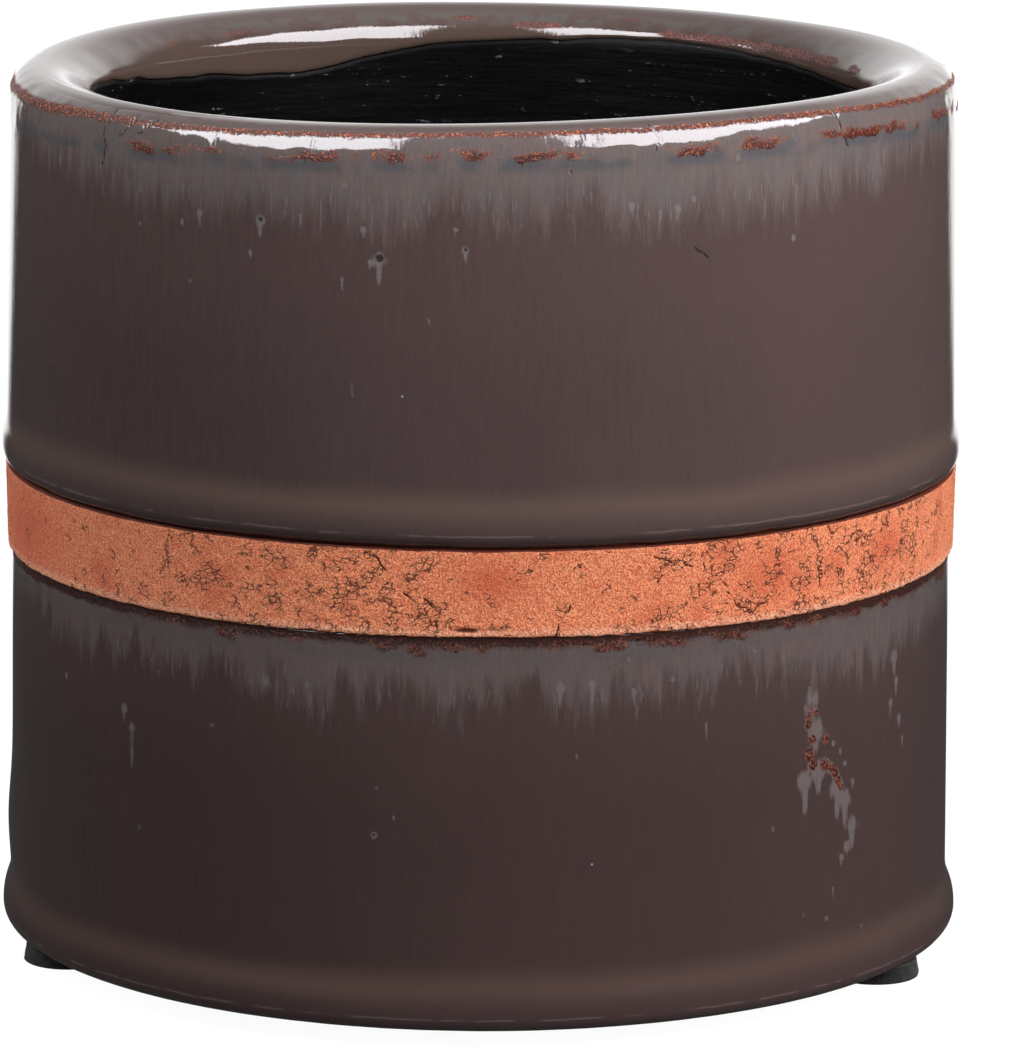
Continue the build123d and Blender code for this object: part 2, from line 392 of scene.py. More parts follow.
def glazePaint(name, look):
    paint = Paint(name)
    where = paint.places()
    masks = ("fall", "veil", "wander", "halo", "hole", "rust")
    fall, veil, wander, halo, hole, rustMark = (paint.mask(key) for key in masks)
    side = paint.node("ShaderNodeSeparateXYZ", None, {0: where}, "X") / clayRadius
    streaks = paint.noise(paint.stretched(where, (1.5, 1.5, 0.16)), 1.0, 3.0, 0.6)
    hairs = paint.noise(paint.stretched(where, (2.6, 2.6, 0.3)), 1.0, 2.0, 0.5)
    strands = paint.noise(paint.stretched(where, (0.8, 0.8, 0.12)), 1.0, 2.0, 0.55)
    runs = paint.noise(paint.stretched(where, (0.28, 0.28, 0.05)), 1.0, 2.0, 0.5)
    clouds = paint.noise(where, 0.045, 3.0, 0.5)
    grain = paint.noise(where, 2.6, 3.0, 0.65)
    patches = paint.noise(where, 0.3, 2.0, 0.5)
    blots = paint.noise(where, 0.22, 1.0, 0.5)
    # painted shade and light: besides the random clouds, the glaze is painted darker towards the left side and
    # lighter towards the right, following the light
    body = paint.mix(clouds.about(0.8) + side * 0.5 + 0.5, look["deep"], look["mid"])
    lighter = streaks.about(0.7) + grain.about(0.6) + (1.0 - veil.ramp(0.0, look["paling"])) * 0.5
    body = paint.mix(lighter + 0.25, body, look["light"])
    # painted sheen: a lighter olive band on the bead's upward-facing slope
    oliveSheen = (fall + clouds.about(3.0)).ridge(look["sheenAt"], look["sheenWidth"])
    body = paint.mix(oliveSheen * 0.7, body, look["oliveSheen"])
    # painted shade: the bead's underside, below its fattest ring, is darkened with the under tone
    rolled = fall.ramp(look["lineAt"] - 0.3, look["lineAt"] + 1.2)
    body = paint.mix(rolled * 0.85, body, look["under"])
    # painted reflection: a thin, broken pale line along the bead's lower curve
    pale = (fall + patches.about(0.4)).ridge(look["lineAt"], 0.24) * blots.ramp(0.4, 0.56)
    body = paint.mix(pale * 0.5, body, look["line"])
    reach = veil + runs.about(look["tongue"]) + strands.about(look["feather"]) + hairs.about(6.0)
    greyZone = 1.0 - reach.ramp(-look["fade"], look["fade"])
    greyShare = greyZone * (0.84 + patches.about(0.5) + hairs.about(0.7) + grain.about(0.3))
    greyTone = paint.mix(patches.ramp(0.35, 0.7), look["grey"], look["blueGrey"])
    colour = paint.mix(greyShare, body, greyTone)
    tips = reach.ridge(1.0, 5.0) * hairs.ramp(0.56, 0.68)
    marks = (halo * (hairs * 1.3 + strands * 0.9 + grain.about(0.7) - 0.15)).ramp(0.3, 0.7)
    colour = paint.mix((tips * 0.5).largest(marks * 0.7), colour, look["mark"])
    colour = look["edgeTone"](paint, fall, patches, grain, colour)
    drop = fall - wander
    shade = (drop + patches.about(1.2)).ridge(look["rowAt"] + 1.2, 1.6) * blots.ramp(0.34, 0.52)
    colour = paint.mix(shade * 0.6, colour, look["blue"])
    pierced = hole.ramp(0.3, 0.65)
    colour = paint.mix(pierced * 0.85, colour, look["hole"])
    # painted glints: tiny pale specks scattered over the glaze
    speckGlints = 1.0 - paint.cells(where, look["speckGlintScale"], "F1").ramp(0.012, 0.02)
    colour = paint.mix(speckGlints * 0.7, colour, look["speckGlint"])
    wider = 1.0 - (side * -1.0).ramp(0.6, 0.85) * 0.45  # at the left
    line = (drop + grain.about(1.2) + patches.about(1.0) - look["rustAt"]) * wider
    line = line.ridge(0.0, look["rustWidth"]) * (patches + grain.about(0.3)).ramp(0.2, 0.3)
    row = (drop + grain.about(2.4) + patches.about(2.6)).ridge(look["rowAt"], 0.9)
    row = row * (blots + grain.about(0.5)).ramp(0.49, 0.55) * (side + 0.8).ramp(0.0, 0.12)
    flaw = (rustMark * (patches * 1.5 + grain * 0.9 - 0.3)).ramp(0.4, 0.6)
    rust = (line.largest(row) * 2.2).clear().largest(flaw) * (1.0 - pierced)
    rustTone = paint.mix(grain.ramp(0.5, 0.59), look["rust"], look["ochre"])
    rustTone = paint.mix(grain.ramp(0.59, 0.67), rustTone, look["orange"])
    flawTone = paint.mix(grain.ramp(0.44, 0.6), look["flaw"], look["flawPale"])
    redder = rustMark.ramp(0.15, 0.35).largest(row.ramp(0.1, 0.4) * 0.6)
    rustTone = paint.mix(redder, rustTone, flawTone)
    glass = paint.node("ShaderNodeBsdfPrincipled", None, {
        "Base Color": colour, "Roughness": 0.05 + grain * 0.02 + hole * 0.2,
        "IOR": 1.5, "Specular IOR Level": look["gloss"],
        "Normal": paint.bump(streaks * 0.2 + grain * 0.05 - hole, look["bump"]),
    })
    crust = paint.node("ShaderNodeBsdfPrincipled", None, {
        "Base Color": rustTone, "Roughness": 0.35 + grain * 0.2, "Specular IOR Level": 0.25,
        "Normal": paint.bump(grain, 0.25),
    })
    paint.node("ShaderNodeOutputMaterial", None, {
        "Surface": paint.node("ShaderNodeMixShader", None, {0: rust, 1: glass, 2: crust}),
    })
    return paint.owner


# upper glaze
skinGap = 0.01  # between a coat's back and the clay
capRadius = 2.0  # where the rings of a closed piece end
upperBead = dict(rise=5.0, drop=3.0, sag=0.3)
upperMesh = dict(columns=620, crowding=0.8, marksEnd=106.0, lipRows=25, lipStart=12.0, lipRound=1.2)
upperSkin = dict(wave=0.12, streak=0.012, dent=0.1, pit=0.04, run=0.05, hole=0.3, foot=0.12, lip=0.12)
upperCut = dict(width=0.27, seed=5, wobble=0.3)
beadLevel = upperLow[2] + upperBead["drop"]
lipRun, shoulderRun = rimLine(coat["rim"])
swellRun, rollRun = beadLine(
    coat["upper"], upperHigh[0], beadLevel, upperBead["rise"], upperBead["drop"] + upperBead["sag"], clayRadius
)
wallRun = spread([shoulderRun[-1], swellRun[0]], 0.05)
markedRun = wallRun[wallRun[:, 1] > upperMesh["marksEnd"]]
outerRun = joined(
    spread(shoulderRun, 0.3),
    spread(markedRun, 0.42),
    spread([markedRun[-1], swellRun[0]], 1.3),
    spread(swellRun, 0.5),
    spread(rollRun, 0.4),
)
upperMarks = (  # turn from the front, height, half width, length of the run, hole, rust
    (-12.5, 112.7, 0.5, 1.6, 0.5, 0.0), (-11.5, 113.2, 1.15, 5.2, 1.0, 0.0), (-1.7, 114.8, 0.6, 2.8, 1.0, 0.0),
    (-26.0, 117.9, 0.9, 3.6, 0.8, 0.0), (-34.2, 118.2, 0.6, 3.0, 0.7, 0.0), (-27.3, 113.2, 0.35, 1.4, 0.4, 0.0),
    (-35.4, 108.2, 0.3, 2.4, 0.3, 0.0), (-2.8, 117.6, 0.4, 2.0, 0.5, 0.0), (-13.4, 117.4, 0.5, 2.4, 0.3, 0.0),
    (-15.9, 110.2, 0.35, 2.2, 0.0, 0.0), (-43.2, 115.4, 0.35, 2.4, 0.0, 0.0), (-36.7, 116.6, 0.4, 2.4, 0.0, 0.0),
    (-20.9, 119.0, 0.4, 2.4, 0.3, 0.0), (38.9, 114.1, 0.5, 1.0, 1.0, 0.0), (25.1, 120.8, 0.5, 2.2, 0.5, 0.0),
    (17.4, 120.4, 0.6, 3.2, 0.0, 0.0), (20.8, 119.2, 0.35, 2.0, 0.0, 0.0), (10.3, 125.4, 0.5, 0.6, 0.4, 0.8),
    (30.8, 125.7, 0.5, 0.8, 1.0, 0.0), (-15.6, 123.6, 0.4, 0.6, 0.8, 0.0), (-8.2, 125.6, 0.4, 0.8, 0.9, 0.0),
    (23.0, 119.6, 0.6, 3.0, 0.0, 0.0), (11.5, 130.0, 0.6, 0.5, 1.0, 0.4), (-14.6, 95.2, 0.35, 1.8, 0.8, 0.0),
    (-5.7, 104.6, 0.25, 0.4, 0.3, 0.0), (6.8, 99.9, 0.25, 0.4, 0.3, 0.0), (-27.4, 101.4, 0.35, 0.6, 0.6, 0.0),
)
upperCracks = (
    ((-49.7, 130.9), (-50.1, 128.2), (-49.5, 126.1), (-50.3, 123.1)), ((-45.0, 130.7), (-47.3, 127.8)),
    ((-41.7, 130.7), (-44.1, 128.6)), ((46.3, 130.3), (47.1, 127.1), (48.0, 125.5)),
    ((20.2, 131.0), (20.9, 129.6), (20.3, 127.4)), ((-32.4, 129.9), (-32.3, 128.2)),
    ((-19.3, 129.8), (-19.6, 128.0)), ((33.6, 131.0), (33.9, 130.0)), ((25.2, 114.2), (27.0, 112.6)),
)
upperGrey = (  # where the grey curtain ends
    (-180, 120), (-80, 126), (-68.8, 126), (-59.6, 123.2), (-50.7, 122.4), (-41.9, 120.8), (-27.6, 120.8),
    (-17.7, 120.9), (-14.1, 119.3), (-9.5, 119.1), (-4.9, 121), (-0.4, 120.2), (4.1, 118.8), (8.6, 121),
    (13.3, 120.8), (19.2, 119.6), (24.1, 119.4), (30.6, 120.1), (42.4, 120.6), (49.3, 122), (57.7, 122.8),
    (66, 124.2), (80, 124), (180, 120),
)
rustLevel = (  # where the rust line runs, down from the crown
    (-180, 4.5), (-90, 6), (-63, 5.6), (-54, 5.05), (-41, 4.9), (-22.6, 4.4), (0, 4.15), (19.6, 4.35),
    (42, 4.3), (62, 5.2), (90, 5.6), (180, 4.5),
)
rustMean = 4.3
lipRust = (  # turn, distance in from the crown, half width, half height
    (172, -6.8, 5.0, 0.9), (158, -4.6, 3.0, 0.4), (150, -7.4, 4.0, 0.9), (142, -7.6, 5.0, 1.2),
    (134, -7.8, 4.5, 1.1), (125, -7.8, 4.5, 1.4), (116, -8.0, 4.5, 1.2), (107, -8.0, 4.0, 1.0),
    (-177, -5.4, 3.2, 0.8), (-140, -6.6, 3.0, 0.8), (-126, -6.8, 1.6, 0.7),
)
upperTurns = turnsRound(upperMesh)
outerFall = runLength(outerRun)
radius, height, spots = gridOn(outerRun, upperTurns)
onWall = ramp(height, beadLevel - 4, beadLevel)
halo, hole, rustMark = marksOn(upperTurns, height, upperMarks, clayRadius)
cracks = scratches(upperTurns, height, upperCracks, clayRadius, **upperCut)
hole = np.maximum(hole, cracks * 0.7) * onWall
halo, rustMark = halo * onWall, rustMark * onWall
swell = softNoise(spots, (26.0, 26.0, 30.0)) * upperSkin["wave"]
swell += softNoise(spots, (2.6, 2.6, 14.0), 5.0) * upperSkin["streak"] * onWall
nearRim = ramp(height, shoulderLevel - 5, shoulderLevel + 1) * ramp(outerFall, 1.0, 4.0)[:, None]
dents = softNoise(spots, (3.6, 3.6, 2.6), 9.0) * upperSkin["dent"]
swell += (dents + softNoise(spots, (1.6, 1.6, 1.6), 2.0) * upperSkin["pit"]) * nearRim
swell += halo * upperSkin["run"] - hole * upperSkin["hole"]
radius, height = swelled(outerRun, radius, height, swell)
veil = levelRound(upperTurns, upperGrey) - height
height = height + rimLift(upperTurns) * ramp(height, shoulderLevel - 20, crest)
footWobble = softNoise(roundPot(clayRadius, upperTurns, 0.0), (5.0, 5.0, 5.0), 7.0) * upperSkin["foot"]
height = height + footWobble * (1 - ramp(height, upperLow[2], beadLevel))
outer = roundPot(radius, upperTurns, height)
endLevel = glazeEnd(upperTurns[0])
lipStart = crest - upperMesh["lipStart"]
innerLine = joined(
    spread([(innerRadius(lipStart, coat["rim"]), lipStart), lipRun[0]], 0.3),
    spread(lipRun, 0.2),
)
innerArc = runLength(innerLine)
endArc = np.interp(endLevel, innerLine[:, 1], innerArc)
along = endArc + (innerArc[-1] - endArc) * np.linspace(0, 1, upperMesh["lipRows"])[:-1, None]
innerHeight = np.interp(along, innerArc, innerLine[:, 1])
rounded = np.clip((along - endArc) / upperMesh["lipRound"], 0, 1)
innerCoat = coat["rim"] * np.sqrt(1 - (1 - rounded) ** 2)
innerRadii = np.interp(along, innerArc, innerLine[:, 0]) + coat["rim"] - innerCoat * 0.97 - 0.02
innerFall = along - innerArc[-1]
innerLift = rimLift(upperTurns) * ramp(innerHeight, lipLevel - 2, crest)
inner = roundPot(innerRadii, upperTurns, innerHeight + innerLift)
lipSwell = softNoise(inner, (5.0, 5.0, 3.0), 4.0) * upperSkin["lip"] * ramp(-innerFall, 2.0, 5.0)
inner[..., :2] *= (1 + lipSwell / innerRadii)[..., None]
innerRust = sum(near(upperTurns, innerFall, *spot, throat) for spot in lipRust)
clayLip, clayShoulder = rimLine(0)
hiddenRun = joined([(clayRadius + skinGap, upperLow[2] + 8)], clayShoulder[::-6], clayLip[::-6])
hidden = roundPot(hiddenRun[:, :1], upperTurns, hiddenRun[:, 1:])
blank = np.zeros((len(hiddenRun), upperTurns.shape[1]))
upperMasks = dict(
    fall=np.concatenate([innerFall, outerFall[:, None] + 0 * upperTurns, blank - 14]),
    veil=np.concatenate([levelRound(upperTurns, upperGrey) - innerHeight, veil, blank]),
    wander=levelRound(upperTurns, rustLevel) - rustMean,
    rust=np.concatenate([np.minimum(innerRust, 1) * 0.9, rustMark, blank]),
    halo=np.concatenate([0 * innerFall, halo, blank]),
    hole=np.concatenate([0 * innerFall, hole, blank]),
)
upperFat = float(outerFall[np.argmax(outerRun[:, 0])])
lipLook = dict(crown=tone(103, 85, 82), cloud=tone(107, 102, 98), inner=tone(92, 75, 68))


def lipTone(paint, fall, patches, grain, colour):  # the crown, then grey clouds, then brown towards the sealer
    colour = paint.mix(1.0 - fall.ramp(2.0, 4.0), colour, lipLook["crown"])
    cloudy = (fall + patches.about(4.0)).ridge(-5.0, 2.4)
    colour = paint.mix(cloudy * patches.ramp(0.42, 0.58) * 0.8, colour, lipLook["cloud"])
    return paint.mix(1.0 - (fall + patches.about(3.0)).ramp(-7.6, -6.4), colour, lipLook["inner"])


upperLook = dict(
    deep=tone(67, 54, 54), mid=tone(83, 67, 66), light=tone(92, 74, 72), oliveSheen=tone(97, 79, 71),
    under=tone(56, 46, 44), line=tone(128, 112, 106), grey=tone(124, 110, 107), blueGrey=tone(113, 105, 105),
    blue=tone(78, 84, 92), mark=tone(132, 125, 124), hole=tone(30, 24, 24), speckGlint=tone(190, 182, 180),
    rust=tone(66, 24, 11), ochre=tone(146, 62, 24), orange=tone(232, 142, 74),
    flaw=tone(58, 24, 18), flawPale=tone(116, 54, 40), edgeTone=lipTone, gloss=0.7, bump=0.1,
    tongue=8.0, feather=9.0, fade=4.6, paling=34.0, speckGlintScale=0.085, rustAt=3.8, rustWidth=0.66, rowAt=7.2,
    sheenAt=upperFat - 2.6, sheenWidth=4.0, lineAt=upperFat + 1.4,
)
place(
    turnedMesh("upperGlaze", np.concatenate([inner, outer, hidden]), upperMasks),
    ["upper_glaze"], glazePaint("upperGlazePaint", upperLook),
)

# lower glaze
lowerBead = dict(rise=7.0, drop=2.6, gap=0.1)
lowerMesh = dict(columns=680, crowding=0.8, rollEnd=1.5)
lowerSkin = dict(wave=0.1, streak=0.012, bulge=0.65, run=0.05, hole=0.3, rust=0.15)
lowerCut = dict(width=0.3, seed=6, wobble=0.3)
lowerBulge = (-90.0, 18.0, 22.0, 7.0)  # turn, height, half width, half height
lowerLevel = clayBase + lowerBead["gap"] + lowerBead["drop"]
footRadius = clayRadius - wall["footRound"]
swellRun, rollRun = beadLine(
    coat["lower"], lowerHigh[0], lowerLevel, lowerBead["rise"], lowerBead["drop"], footRadius
)
lowerStart = (clayRadius + coat["lowerTop"], bandBottom)
lowerRun = joined(
    spread([(clayRadius, bandBottom), lowerStart], 0.25),
    spread([lowerStart, swellRun[0]], 0.45),
    spread(swellRun, 0.45),
    spread(rollRun[rollRun[:, 0] > clayRadius - lowerMesh["rollEnd"]], 0.35),
)
lowerMarks = (  # as on the upper glaze, with the scar at the right
    (-46.6, 44.6, 0.7, 3.0, 0.5, 0.0), (-45.2, 42.0, 0.9, 8.5, 0.0, 0.0), (-25.5, 52.2, 0.7, 3.6, 0.6, 0.0),
    (-58.8, 46.6, 0.5, 0.8, 0.5, 0.0), (-40.7, 51.0, 0.35, 3.0, 0.0, 0.0), (-41.9, 52.5, 0.35, 0.5, 0.6, 0.0),
    (-22.2, 51.0, 0.3, 3.6, 0.0, 0.0), (-20.2, 52.1, 0.45, 0.8, 0.3, 0.0), (-32.7, 44.6, 0.35, 2.4, 0.0, 0.2),
    (-12.0, 31.2, 0.5, 1.0, 0.9, 0.0), (-9.7, 34.0, 0.25, 0.8, 0.2, 0.0), (-11.7, 38.0, 0.25, 0.8, 0.0, 0.0),
    (-43.8, 27.8, 0.3, 2.4, 0.0, 0.0), (9.5, 52.6, 0.8, 4.0, 0.0, 0.0), (13.3, 53.0, 0.7, 4.4, 0.2, 0.0),
    (18.3, 51.6, 0.6, 3.0, 0.0, 0.0), (23.1, 53.0, 0.45, 2.4, 0.2, 0.0), (27.5, 46.0, 0.25, 3.6, 0.2, 0.0),
    (11.5, 43.0, 0.25, 1.0, 0.2, 0.0), (42.7, 48.7, 0.5, 0.8, 0.7, 0.0), (37.0, 29.3, 0.4, 0.5, 0.7, 0.0),
    (42.3, 46.1, 0.9, 1.5, 0.0, 1.0), (42.3, 45.0, 0.8, 1.0, 0.3, 1.1), (42.3, 43.6, 0.9, 1.0, 0.0, 1.0),
    (43.6, 45.2, 0.7, 1.0, 0.0, 1.1), (43.1, 41.4, 0.8, 1.0, 0.5, 1.1), (42.6, 39.2, 1.1, 4.0, 0.0, 1.1),
    (43.2, 37.6, 0.9, 3.0, 0.3, 1.1), (45.3, 41.0, 0.8, 1.0, 0.4, 1.1), (46.7, 40.0, 0.5, 0.8, 0.3, 0.5),
    (48.0, 38.6, 0.45, 0.8, 0.4, 0.5), (48.9, 36.6, 0.45, 0.8, 0.2, 0.5), (50.3, 33.6, 0.6, 2.0, 0.0, 0.6),
    (45.3, 37.2, 1.1, 2.0, 0.2, 1.1), (46.3, 36.5, 0.9, 1.0, 0.0, 1.1), (47.0, 35.7, 0.9, 2.0, 0.3, 1.1),
    (47.5, 34.5, 0.8, 2.0, 0.0, 1.1), (48.1, 33.4, 0.7, 2.0, 0.0, 1.0), (41.9, 35.4, 1.6, 7.0, 0.0, 0.0),
    (44.2, 36.4, 1.8, 5.0, 0.0, 0.0), (47.5, 33.1, 1.7, 6.0, 0.0, 0.0), (49.0, 31.3, 1.6, 6.0, 0.0, 0.0),
    (50.4, 27.2, 1.5, 5.0, 0.0, 0.0), (49.5, 24.3, 0.9, 2.0, 0.5, 0.0), (48.5, 22.8, 0.7, 2.0, 0.0, 0.0),
    (43.0, 47.2, 1.5, 8.0, 0.0, 0.0), (43.6, 42.6, 1.9, 5.0, 0.0, 0.0), (46.9, 18.7, 0.3, 3.0, 0.0, 0.0),
    (45.8, 14.4, 0.4, 0.8, 0.0, 0.0), (41.9, 15.8, 0.35, 0.6, 0.3, 0.0), (52.6, 11.8, 0.3, 1.2, 0.0, 0.0),
    (60.0, 46.3, 0.7, 3.6, 0.0, 0.0), (58.6, 43.4, 0.7, 4.6, 0.0, 0.0), (60.8, 40.6, 0.7, 2.6, 0.0, 0.0),
    (61.7, 37.4, 0.5, 2.4, 0.0, 0.0), (59.4, 50.0, 1.2, 4.0, 0.0, 0.0),
    (34.3, 55.8, 0.5, 0.5, 1.0, 0.0), (16.7, 58.4, 0.9, 0.6, 0.0, 0.62), (31.4, 57.0, 0.5, 0.6, 0.0, 0.62),
    (17.7, 56.3, 0.4, 0.6, 0.0, 0.5), (43.5, 58.7, 1.0, 0.8, 0.0, 0.5),
)
lowerCracks = (((34.6, 59.2), (34.8, 56.6)), ((21.8, 58.8), (18.6, 57.9), (15.0, 54.8)))
lowerGrey = (
    (-180, 53), (-70.9, 57.1), (-60.8, 54.4), (-51.5, 53.5), (-42.4, 53.9), (-34.7, 53.5), (-27.8, 53.1),
    (-21.3, 51.3), (-15.2, 52.6), (-9.3, 52.3), (-4.7, 50.3), (-0.1, 52.6), (4.5, 52.6), (9.2, 51.7),
    (18.7, 51.9), (25, 52.7), (31.7, 52.6), (39, 53.7), (47.4, 51.4), (57.8, 51.4), (70, 54.4), (180, 53),
)
lowerTurns = turnsRound(lowerMesh)
lowerFall = runLength(lowerRun)
radius, height, spots = gridOn(lowerRun, lowerTurns)
halo, hole, rustMark = marksOn(lowerTurns, height, lowerMarks, clayRadius)
cracks = scratches(lowerTurns, height, lowerCracks, clayRadius, **lowerCut)
hole = np.maximum(hole, cracks * 0.5)
swell = softNoise(spots, (26.0, 26.0, 30.0), 11.0) * lowerSkin["wave"]
swell += softNoise(spots, (2.6, 2.6, 14.0), 4.0) * lowerSkin["streak"]
swell += lowerSkin["bulge"] * near(lowerTurns, height, *lowerBulge, clayRadius)
swell = swell + halo * lowerSkin["run"] - hole * lowerSkin["hole"] + rustMark * lowerSkin["rust"]
swell = swell * ramp(lowerFall, 0.0, 0.8)[:, None]
radius, height = swelled(lowerRun, radius, height, swell)
outer = roundPot(radius, lowerTurns, height)
hiddenRun = np.array([(clayRadius + skinGap, lowerLevel + 3), (clayRadius + skinGap, bandBottom - 6)])
hidden = roundPot(hiddenRun[:, :1], lowerTurns, hiddenRun[:, 1:])
blank = np.zeros((len(hiddenRun), lowerTurns.shape[1]))
lowerMasks = {key: np.concatenate([values, blank]) for key, values in dict(
    fall=lowerFall[:, None] + 0 * lowerTurns, veil=levelRound(lowerTurns, lowerGrey) - height,
    wander=0 * height, halo=halo, hole=hole, rust=rustMark,
).items()}
lowerFat = float(lowerFall[np.argmax(lowerRun[:, 0])])
cornerLook = tone(54, 28, 22)


def cornerTone(paint, fall, patches, grain, colour):  # dark red-brown in the corner under the band: partly the glaze's own colour at its edge, partly painted shade under the band's overhang
    ragged = fall + patches.about(1.6) + grain.about(1.6)
    return paint.mix((1.0 - ragged.ramp(1.2, 2.7)) * 0.95, colour, cornerLook)


lowerLook = dict(
    upperLook, deep=tone(58, 45, 44), mid=tone(69, 53, 52), light=tone(75, 59, 57), oliveSheen=tone(84, 66, 60),
    under=tone(66, 54, 54), line=tone(112, 98, 94), grey=tone(103, 89, 87), blueGrey=tone(96, 86, 86),
    blue=tone(86, 79, 79), mark=tone(114, 105, 104),
    rust=tone(46, 23, 18), ochre=tone(66, 29, 21), orange=tone(100, 44, 30),
    flaw=tone(42, 14, 10), flawPale=tone(124, 68, 50), edgeTone=cornerTone,
    tongue=9.0, feather=11.0, fade=3.6, paling=20.0, speckGlintScale=0.06, rustAt=1.5, rustWidth=0.5, rowAt=2.3,
    sheenAt=lowerFat - 4.2, sheenWidth=3.8, lineAt=lowerFat + 0.2,
)
place(
    turnedMesh("lowerGlaze", np.concatenate([outer, hidden]), lowerMasks),
    ["lower_glaze"], glazePaint("lowerGlazePaint", lowerLook),
)

# bare clay band
bandMesh = dict(columns=1380, crowding=0.85)
bandSkin = dict(wave=0.1, grain=0.05, looseGrain=0.1, foot=0.12, crackAndShade=0.3, top=0.12, chip=0.7)
bandCut = dict(width=0.11, seed=8, wobble=0.45)
bandCracks = (
    ((-13.3, 71.3), (-12.2, 71.8), (-10.4, 69.2)), ((-10.4, 69.2), (-11.2, 68.1), (-7.9, 65.8)),
    ((-6.4, 65.7), (-4.7, 63.8), (-4.7, 61.5)), ((10.6, 64.8), (8.9, 60.2)), ((21.2, 69.4), (20.9, 67.2)),
    ((20.2, 71.1), (25.2, 69.1)), ((26.5, 70.8), (27.1, 67.7), (29.8, 65.8)), ((29.8, 64.9), (32.9, 61.5)),
    ((32.9, 61.5), (37.6, 64.1)), ((36.8, 71.5), (36.9, 65.4)), ((42.7, 70.5), (43.5, 63.2)),
    ((44.3, 72.2), (45.7, 71.0)), ((54.7, 72.2), (56.4, 68.7)), ((24.6, 64.0), (23.9, 61.3)),
    ((52.2, 65.9), (50.8, 64.4)), ((62.9, 68.8), (64.0, 61.1)),
)
bandCrumbs = (  # turn, height, half width, half height of the crumbling patches
    (-24.9, 71.0, 1.6, 1.6), (-24.6, 67.5, 1.4, 2.4), (-23.4, 63.8, 1.6, 2.4), (-33.0, 66.0, 3.0, 2.5),
    (-12.4, 69.8, 2.4, 2.4), (-10.6, 67.0, 1.8, 1.6), (-6.0, 64.0, 1.4, 2.6), (-16.0, 66.0, 3.0, 3.0),
    (9.6, 62.6, 0.9, 2.6), (21.0, 68.4, 0.7, 1.2), (28.0, 67.0, 1.6, 2.4), (33.0, 63.0, 3.0, 1.8),
    (36.8, 68.5, 1.2, 3.0), (43.2, 67.5, 1.2, 3.6), (50.5, 70.0, 3.0, 1.8), (53.0, 66.5, 2.4, 2.4),
    (62.5, 66.0, 1.6, 3.4), (45.0, 61.4, 2.4, 1.0), (-53.8, 63.0, 0.9, 2.0), (-47.2, 62.2, 0.7, 2.2),
)
bandReds = (  # the redder patches, in the same way
    (1.6, 68.0, 5.0, 3.0), (-50.8, 64.3, 1.8, 2.0), (-70.0, 66.0, 14.0, 8.0), (36.0, 66.5, 6.0, 4.0),
    (56.0, 67.0, 5.0, 3.0),
)
bandWear = (  # how much the surface crumbles, by turn from the front
    (-180, 0.3), (-60, 0.1), (-46, 0.2), (-38, 0.36), (-28, 0.42), (-12, 0.5), (-2, 0.3), (4, 0.1),
    (18, 0.2), (24, 0.5), (62, 0.5), (72, 0.2), (180, 0.3),
)
lowerFace, upperFace = clayRadius + band["lowerStand"], clayRadius + band["upperStand"]
rounding = band["round"]
upperStart, upperEnd = (upperFace - rounding, bandTop), (upperFace, bandTop - rounding)
lowerStart, lowerEnd = (lowerFace, bandBottom + rounding), (lowerFace - rounding, bandBottom)
bandRun = joined(
    spread([(clayRadius, bandTop), upperStart], 0.3),
    spread(corner(upperStart, (upperFace, bandTop), upperEnd), 0.25),
    spread([upperEnd, lowerStart], 0.21),
    spread(corner(lowerStart, (lowerFace, bandBottom), lowerEnd), 0.25),
    spread([lowerEnd, (clayRadius, bandBottom)], 0.3),
)
bandTurns = turnsRound(bandMesh)
radius, height, spots = gridOn(bandRun, bandTurns)
crackAndShade = scratches(bandTurns, height, bandCracks, clayRadius, **bandCut)
crackAndShade *= ramp(softNoise(spots, (1.0, 1.0, 1.0), 6.0), -0.4, 0.2)
loose = sum(near(bandTurns, height, *spot, clayRadius) for spot in bandCrumbs)
loose = np.maximum(loose, levelRound(bandTurns, bandWear))
loose = np.clip(loose + 0.35 * softNoise(spots, (2.0, 2.0, 2.0), 12.0) * np.minimum(loose, 1), 0, 1)
onFace = ramp(radius, clayRadius + 0.3, clayRadius + 0.9)
footLip = ramp(bandBottom + 1.0 - height, -0.6, 0.5)
swell = softNoise(spots, (18.0, 18.0, 18.0), 1.0) * bandSkin["wave"]
swell += softNoise(spots, (0.55, 0.55, 0.55), 2.0) * (bandSkin["grain"] + bandSkin["looseGrain"] * loose)
swell += softNoise(spots, (1.5, 1.5, 1.0), 8.0) * bandSkin["foot"] * footLip - crackAndShade * bandSkin["crackAndShade"]
topLip = ramp(height, bandTop - 1.2, bandTop - 0.2)
swell += softNoise(spots, (2.2, 2.2, 2.2), 15.0) * bandSkin["top"] * topLip
chip = near(bandTurns, height, -1.3, bandBottom + 1.0, 1.7, 0.3, clayRadius)
crumb = near(bandTurns, height, -1.2, bandBottom + 0.4, 2.4, 0.3, clayRadius)
ledge = ramp(bandRun[:, 1:], bandTop - 0.12, bandTop - 0.02)  # the shaded top, next to the glaze
swell = (swell - bandSkin["chip"] * chip) * onFace
radius, height = swelled(bandRun, radius, height, swell)
outer = roundPot(radius, bandTurns, height)
bandMasks = dict(
    # this mask carries the cracks, and the painted shade on the band's top ledge
    crackAndShade=np.maximum.reduce([crackAndShade * onFace, chip, ledge + 0 * crackAndShade]),
    lip=np.maximum(footLip * onFace, crumb), loose=loose * onFace,
    red=np.maximum.reduce([near(bandTurns, height, *spot, clayRadius) for spot in bandReds]),
)
clayTone = dict(
    base=tone(219, 105, 70), pale=tone(252, 166, 120), red=tone(198, 76, 46), brown=tone(158, 68, 44),
    dark=tone(80, 19, 12), lip=tone(240, 192, 160),
)


